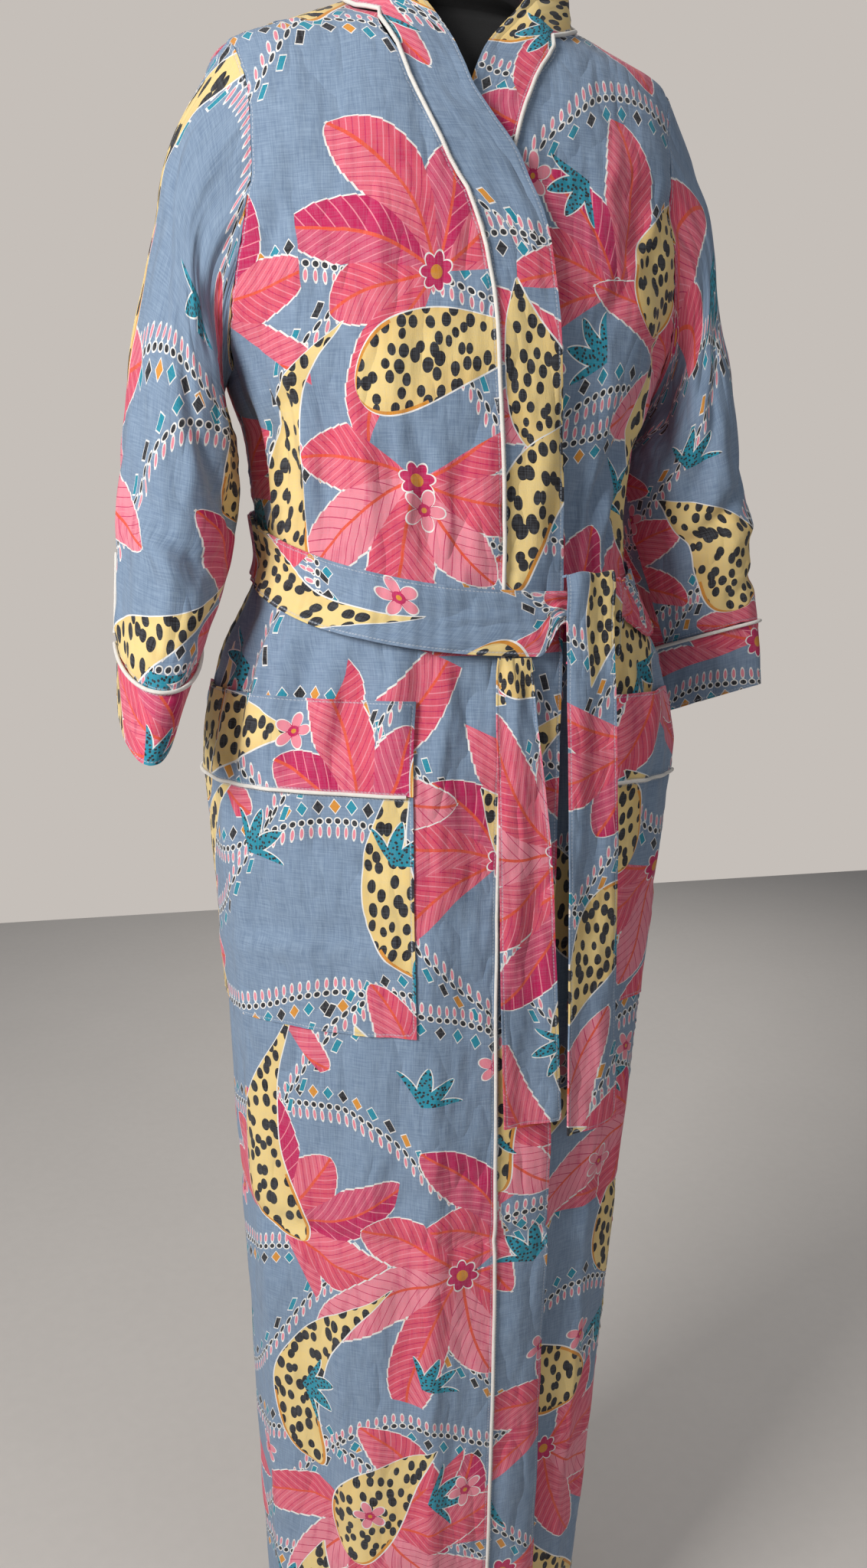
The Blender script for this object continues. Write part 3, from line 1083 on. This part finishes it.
def make_belt_end(node, table, count, seed):
    across = np.linspace(-0.5, 0.5, 25)
    level = np.ones(25)
    rings = []
    for z, x, off, share in table:
        place = x + BELT_WIDTH * (share * (across + 0.5) - 0.5)
        rings.append(hanging_point(place, z * level, off + BELT_END_LIFT))
    points = centripetal(rings, np.linspace(0, 1, count))
    run = down_lengths(points)
    side = across[None, :]
    lower = 0.9 + 0.9 * ease(60, 140, run)
    out = 1.6 * np.exp(-run / 70.0) * np.cos(side * math.pi * 3 + seed)
    out = out + lower * np.sin(side * math.pi * 2.2 + run * 0.012 + seed)
    out = out * ease(-2, 12, run) + 0.5 * ripple(side * 90, run * 1.4, seed)
    points = points + facing_front(points) * out[..., None]
    edge = np.minimum(BELT_WIDTH * (0.5 - np.abs(side)), run[-1] - run)
    sew(node, points, side * BELT_WIDTH, run, edge, run)


def make_belt_knot():
    shares = np.linspace(0, 1, 23)
    x = KNOT_FROM + (KNOT_TO - KNOT_FROM) * shares
    middle = belt_middle(front_angle(x, np.full(x.shape, BELT_MIDDLE - BELT_FRONT_DROP)))
    rings = [hanging_point(x, middle + height, off) for height, off in KNOT]
    points = centripetal(rings, np.linspace(0, 1, 44))
    run = down_lengths(points)
    folds = 0.7 * np.cos(shares * 19 + 0.6)[None, :] * ease(2, 14, run) * ease(2, 14, run[-1] - run)
    points = points + facing_front(points) * folds[..., None]
    girth = run_lengths(points)
    sew("belt_knot", points, girth, run, side_gap(girth), run)


# Piping
def make_piping(node, path):
    """A corded piping along a path, with capped ends."""
    name = f"robe_{node}"
    curve = bpy.data.curves.new(name, "CURVE")
    curve.dimensions = "3D"
    curve.bevel_depth = bpy.context.scene.robe_cloth.piping_width / 2
    curve.bevel_resolution = 3
    curve.use_fill_caps = True
    spline = curve.splines.new("POLY")
    spline.points.add(len(path) - 1)
    for point, place in zip(spline.points, path):
        point.co = (*(float(c) * MM for c in place), 1)
    obj = bpy.data.objects.new(name, curve)
    bpy.context.collection.objects.link(obj)
    choose(obj)
    bpy.ops.object.convert(target="MESH")
    obj = bpy.context.view_layer.objects.active
    bpy.ops.object.shade_smooth_by_angle(angle=math.radians(60))
    p = bpy.context.scene.robe_print
    obj.data.materials.clear()
    cotton = plain_material("piping_cotton", p.piping[:3], 0.75, 2600.0, 0.08, 0.0004, sheen=0.2, twist=900.0)
    obj.data.materials.append(cotton)
    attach(obj, "root")
    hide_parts(node)


def make_all_piping():
    for side in (-1, 1):
        points, seam = band_grid(side)
        path = (points[:, 0] + seam) / 2 - grid_normals(points)[:, 0] * side * PIPING_OFF_SEAM
        make_piping(f"piping_front_{word(side)}", path[::2])
        strip, normals = cuff_grid(side)
        make_piping(f"piping_cuff_{word(side)}", strip[0, ::2] + normals[0, ::2] * PIPING_OFF_EDGE)
        along = CUFF_START - 0.012 - 0.17 * np.linspace(0, 1, 24)
        columns = centripetal(sleeve_rings(side, np.array((0.49, 0.5, 0.51))), along)
        lift = grid_normals(columns)[:, 1]
        lift = lift * np.sign(lift[:, 0].mean() * side)
        make_piping(f"piping_slit_{word(side)}", columns[:, 1] + lift * PIPING_OFF_SEAM)
        angle, z, points = pocket_grid(side, 12, 14, POCKET_BAND_LIFT, 14)
        lift = body_normal(angle[0], z[0])
        make_piping(f"piping_pocket_{word(side)}", points[0, ::2] + lift[::2] * PIPING_OFF_EDGE)


# Dress form
def make_form():
    """The padded torso with its covered neck, and finishes for the pole and base."""
    columns = 120
    angle = np.linspace(0, 2 * math.pi, columns, endpoint=False)
    table = [(z, 0.0, half, front, back, power) for z, half, front, back, power in FORM_SECTIONS]
    # The shoulders follow the robe, a little smaller, and the covered neck is round
    for z in (1424, 1438, 1444, 1449, 1457, 1465, 1473, 1480):
        centre, half, front, back, power = (float(column(z + FORM_DROP)) for column in BODY)
        table.append((z, centre, half - FORM_INSET, front - FORM_INSET, back - FORM_INSET, power))
    for z, more in ((1488, 9), (1500, 3), (1530, 0), (FORM_NECK_TOP - 3, 0), (FORM_NECK_TOP, -3)):
        table.append((z, 0.0, FORM_NECK + more, FORM_NECK + more, FORM_NECK + more, 2.0))
    table = np.array(table, float)
    curves = [table_curve(table[:, 0], table[:, k]) for k in range(1, 6)]
    heights = (np.arange(790, 1400, 12.0), np.arange(1400, FORM_NECK_TOP, 3.0), table[:, 0])
    heights = np.unique(np.concatenate(heights))
    points = np.array([super_point(angle, z, *(float(curve(z)) for curve in curves)) for z in heights])
    mesh = bpy.data.meshes.new("form_torso_cover")
    rows = len(points)
    faces = grid_quads(rows, columns, True)[0].tolist()
    faces.append(list(reversed(range(columns))))
    faces.append(list(range((rows - 1) * columns, rows * columns)))
    mesh.from_pydata([tuple(v) for v in (points.reshape(-1, 3) * MM)], [], faces)
    mesh.update()
    obj = bpy.data.objects.new("form_torso_cover", mesh)
    bpy.context.collection.objects.link(obj)
    choose(obj)
    bpy.ops.object.shade_smooth_by_angle(angle=math.radians(50))
    jersey = plain_material("form_jersey_knit", (0.006, 0.006, 0.0065), 0.95, 1500.0, 0.3, 0.0004, sheen=0.03)
    mesh.materials.append(jersey)
    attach(obj, "root")
    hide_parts("form_torso")
    metal = plain_material("form_stand_coat", (0.02, 0.02, 0.022), 0.42, 900.0, 0.25, 0.0002)
    for node in ("form_pole", "form_base"):
        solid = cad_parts[node]
        solid.data.materials.clear()
        solid.data.materials.append(metal)


# Floor, light and camera
def make_floor_and_lights():
    watts = bpy.context.scene.robe_light
    floor = plain_material("studio_floor", (0.6, 0.565, 0.53), 0.8, 60.0, 0.02, 0.0005)
    bpy.ops.mesh.primitive_plane_add(size=5.0)
    plane = bpy.context.active_object
    plane.name = "studio_floor"
    plane.data.materials.append(floor)
    for name, place, aim, size, power, colour in (
            ("window_light", (-1.85, -1.15, 1.85), (0, 0, 1.05), 0.8, watts.window_power, (1.0, 0.985, 0.96)),
            ("room_light", (1.2, -2.3, 1.9), (0, 0, 0.9), 2.2, watts.room_power, (1.0, 0.97, 0.94)),
            ("back_light", (0.9, 2.2, 2.1), (0, 0, 1.0), 1.6, watts.back_power, (1.0, 0.98, 0.95)),
            ("top_light", (0.1, -0.4, 3.0), (0, 0, 1.0), 2.0, watts.top_power, (1.0, 0.99, 0.98))):
        light = bpy.data.lights.new(name, "AREA")
        light.size = size
        light.energy = power
        light.color = colour
        obj = bpy.data.objects.new(name, light)
        obj.location = place
        obj.rotation_euler = (Vector(aim) - Vector(place)).to_track_quat("-Z", "Y").to_euler()
        bpy.context.collection.objects.link(obj)


def make_world():
    """A faint glow from all round, and a plain backdrop colour for the camera."""
    world = bpy.data.worlds.new("soft_room")
    world.use_nodes = True
    tree = world.node_tree
    glow = tree.nodes["Background"]
    glow.inputs[0].default_value = (0.9, 0.93, 1.0, 1)
    glow.inputs[1].default_value = bpy.context.scene.robe_light.room_glow
    backdrop = tree.nodes.new("ShaderNodeBackground")
    backdrop.inputs[0].default_value = (0.56, 0.52, 0.485, 1)
    path = tree.nodes.new("ShaderNodeLightPath")
    mix = tree.nodes.new("ShaderNodeMixShader")
    tree.links.new(path.outputs["Is Camera Ray"], mix.inputs[0])
    tree.links.new(glow.outputs[0], mix.inputs[1])
    tree.links.new(backdrop.outputs[0], mix.inputs[2])
    tree.links.new(mix.outputs[0], tree.nodes["World Output"].inputs[0])
    bpy.context.scene.world = world
    bpy.context.scene.view_settings.view_transform = "Standard"
    bpy.context.scene.view_settings.look = "None"


def make_camera():
    azimuth, pitch, roll = (math.radians(a) for a in (CAMERA_AZIMUTH, CAMERA_PITCH, CAMERA_ROLL))
    right = Vector((math.cos(azimuth), math.sin(azimuth), 0))
    level = Vector((-math.sin(azimuth), math.cos(azimuth), 0))
    ahead = level * math.cos(pitch) - Vector((0, 0, math.sin(pitch)))
    up = level * math.sin(pitch) + Vector((0, 0, math.cos(pitch)))
    side = right * math.cos(roll) + up * math.sin(roll)
    top = up * math.cos(roll) - right * math.sin(roll)
    camera = bpy.data.cameras.new("photo_camera")
    camera.sensor_fit = "VERTICAL"
    camera.sensor_height = SENSOR
    camera.lens = SENSOR * PHOTO_FOCAL / PHOTO_HEIGHT
    camera.clip_start = 0.05
    obj = bpy.data.objects.new("photo_camera", camera)
    rows = [(*row, place) for *row, place in zip(side, top, -ahead, CAMERA_PLACE)]
    obj.matrix_world = Matrix((*rows, (0, 0, 0, 1)))
    bpy.context.collection.objects.link(obj)
    bpy.context.scene.camera = obj


# Settings that a user would change
def colour_setting(name, description, value):
    return bpy.props.FloatVectorProperty(
        name=name, description=description, default=value, size=3, min=0, max=1, subtype="COLOR")


def length_setting(name, description, value, low, high):
    return bpy.props.FloatProperty(
        name=name, description=description, default=value, min=low, max=high, unit="LENGTH")


def power_setting(name, description, value):
    return bpy.props.FloatProperty(name=name, description=description, default=value, min=0, unit="POWER")


def share_setting(name, description, value, high):
    return bpy.props.FloatProperty(
        name=name, description=description, default=value, min=0, max=high, subtype="FACTOR")


class RobeCloth(bpy.types.PropertyGroup):
    """Sizes of the cloth"""
    grid_pitch: length_setting("Grid pitch", "Height of one row of the cloth's mesh", 0.006, 0.003, 0.02)
    crease_strength: share_setting("Creases", "How deep the hand-placed creases are, as a share", 2.2, 3)
    piping_width: length_setting("Piping", "Diameter of the white piping", 0.003, 0.001, 0.006)


class RobePrint(bpy.types.PropertyGroup):
    """Colours and fine sizes of the print"""
    ground: colour_setting("Ground", "Blue-grey of the cloth", (0.225, 0.315, 0.44))
    ground_dark: colour_setting("Ground, darker yarn", "Darker yarns of the cloth", (0.145, 0.21, 0.315))
    yarn: colour_setting("Bare yarn", "Unprinted yarn that shows through", (0.42, 0.47, 0.54))
    outline: colour_setting("Outline", "Pale line round each motif", (0.8, 0.78, 0.75))
    leaf: colour_setting("Leaf", "Pink of the leaves", (0.68, 0.075, 0.13))
    leaf_light: colour_setting("Leaf, light", "Light pink of veins and petals", (0.78, 0.235, 0.3))
    magenta: colour_setting("Magenta", "Deep pink parts", (0.5, 0.005, 0.09))
    midrib: colour_setting("Midrib", "Coral line down each leaf", (0.72, 0.075, 0.03))
    cream: colour_setting("Cream", "Body of the spotted paisleys", (0.8, 0.6, 0.24))
    cream_dark: colour_setting("Cream, edge", "Edge of the spotted paisleys", (0.72, 0.48, 0.16))
    spot: colour_setting("Spot", "Near-black spots", (0.012, 0.01, 0.012))
    teal: colour_setting("Teal", "Teal leaves and lozenges", (0.005, 0.24, 0.34))
    amber: colour_setting("Amber", "Amber accents", (0.65, 0.26, 0.02))
    thread: colour_setting("Thread", "Sewing thread", (0.5, 0.54, 0.6))
    piping: colour_setting("Piping", "White piping", (0.8, 0.77, 0.72))
    outline_width: length_setting("Outline width", "Width of the pale line round motifs", 0.0012, 0, 0.004)
    stitch_length: length_setting("Stitch length", "Length of one stitch and its gap", 0.0028, 0.001, 0.01)


class RobeLight(bpy.types.PropertyGroup):
    """Strength of the studio light"""
    window_power: power_setting("Window light", "Power of the soft light at the left", 57)
    room_power: power_setting("Room light", "Power of the soft light in front", 9)
    back_power: power_setting("Back light", "Power of the soft light behind", 26)
    top_power: power_setting("Top light", "Power of the soft light overhead", 5)
    room_glow: share_setting("Room glow", "Strength of the light from all round", 0.16, 2)


class ROBE_OT_panels(bpy.types.Operator):
    """Hang the two fronts and the back on the form"""
    bl_idname = "robe.panels"
    bl_label = "Fronts and back"

    def execute(self, context):
        make_front(-1)
        make_front(1)
        make_back()
        return {"FINISHED"}


class ROBE_OT_sleeves(bpy.types.Operator):
    """Set in the sleeves and sew their cuffs on"""
    bl_idname = "robe.sleeves"
    bl_label = "Sleeves and cuffs"

    def execute(self, context):
        for side in (-1, 1):
            make_sleeve(side)
            make_cuff(side)
        return {"FINISHED"}


class ROBE_OT_bands(bpy.types.Operator):
    """Sew the neckband along the fronts and round the neck"""
    bl_idname = "robe.bands"
    bl_label = "Neckband"

    def execute(self, context):
        make_band(-1)
        make_band(1)
        return {"FINISHED"}


class ROBE_OT_pockets(bpy.types.Operator):
    """Lay the patch pockets and their top bands on the fronts"""
    bl_idname = "robe.pockets"
    bl_label = "Pockets"

    def execute(self, context):
        make_pocket(-1)
        make_pocket(1)
        return {"FINISHED"}


class ROBE_OT_belt(bpy.types.Operator):
    """Tie the belt: the wrap, the knot and the two ends"""
    bl_idname = "robe.belt"
    bl_label = "Belt"

    def execute(self, context):
        make_belt_wrap()
        make_belt_knot()
        make_belt_end("belt_end_a", END_A, 110, 1.0)
        make_belt_end("belt_end_b", END_B, 140, 2.0)
        return {"FINISHED"}


class ROBE_OT_piping(bpy.types.Operator):
    """Lay the white piping in its seams"""
    bl_idname = "robe.piping"
    bl_label = "Piping"

    def execute(self, context):
        make_all_piping()
        return {"FINISHED"}


class ROBE_OT_form(bpy.types.Operator):
    """Cover the dress form and finish its stand"""
    bl_idname = "robe.form"
    bl_label = "Dress form"

    def execute(self, context):
        make_form()
        return {"FINISHED"}


class ROBE_OT_stage(bpy.types.Operator):
    """Set the floor, light and camera"""
    bl_idname = "robe.stage"
    bl_label = "Stage"

    def execute(self, context):
        make_floor_and_lights()
        make_world()
        make_camera()
        return {"FINISHED"}


OPERATORS = (ROBE_OT_panels, ROBE_OT_sleeves, ROBE_OT_bands, ROBE_OT_pockets, ROBE_OT_belt, ROBE_OT_piping,
             ROBE_OT_form, ROBE_OT_stage)


class ROBE_PT_panel(bpy.types.Panel):
    """The robe's steps, in order"""
    bl_label = "Kimono robe"
    bl_idname = "ROBE_PT_panel"
    bl_space_type = "VIEW_3D"
    bl_region_type = "UI"
    bl_category = "Robe"

    def draw(self, context):
        for settings in (context.scene.robe_cloth, context.scene.robe_print, context.scene.robe_light):
            for name in settings.__annotations__:
                self.layout.prop(settings, name)
        for operator in OPERATORS:
            self.layout.operator(operator.bl_idname)


CLASSES = (RobeCloth, RobePrint, RobeLight) + OPERATORS + (ROBE_PT_panel,)


def register():
    for cls in CLASSES:
        bpy.utils.register_class(cls)
    bpy.types.Scene.robe_cloth = bpy.props.PointerProperty(type=RobeCloth)
    bpy.types.Scene.robe_print = bpy.props.PointerProperty(type=RobePrint)
    bpy.types.Scene.robe_light = bpy.props.PointerProperty(type=RobeLight)


def unregister():
    del bpy.types.Scene.robe_light
    del bpy.types.Scene.robe_print
    del bpy.types.Scene.robe_cloth
    for cls in reversed(CLASSES):
        bpy.utils.unregister_class(cls)


def main():
    register()
    for operator in OPERATORS:
        section, name = operator.bl_idname.split(".")
        getattr(getattr(bpy.ops, section), name)()


if __name__ == "__main__":
    main()
